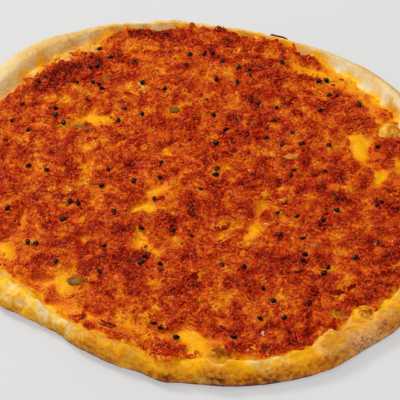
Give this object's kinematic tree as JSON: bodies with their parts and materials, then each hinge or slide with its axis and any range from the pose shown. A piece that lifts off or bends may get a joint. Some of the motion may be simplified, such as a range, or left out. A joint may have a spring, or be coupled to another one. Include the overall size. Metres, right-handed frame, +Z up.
{
  "type": "manakish",
  "caption": "Thin oval flatbread with a puffed, unevenly wide rim, spread with minced red pepper and scattered with small black seeds.",
  "frame": {"origin": "middle of the flat underside", "axes": "+Z up out of the spread, -Y towards the side that faces the viewer, +X to the viewer's right"},
  "size_m": [0.2227, 0.2154, 0.0103],
  "materials": {
    "baked_dough": "baked dough, matte, pale on the rim's inner slope and toasted brown at its foot",
    "pepper_spread": "oily minced red pepper, wet, deep red to orange where it is thin",
    "nigella_seed": "black seed, faint sheen",
    "pepper_piece": "wet chopped red pepper",
    "golden_onion": "soft fried onion, glossy",
    "green_pepper": "cooked green pepper, dull olive"
  },
  "bodies": {
    "root": {"flatbread": "baked_dough", "pepper_spread": "pepper_spread"}
  },
  "joints": []
}
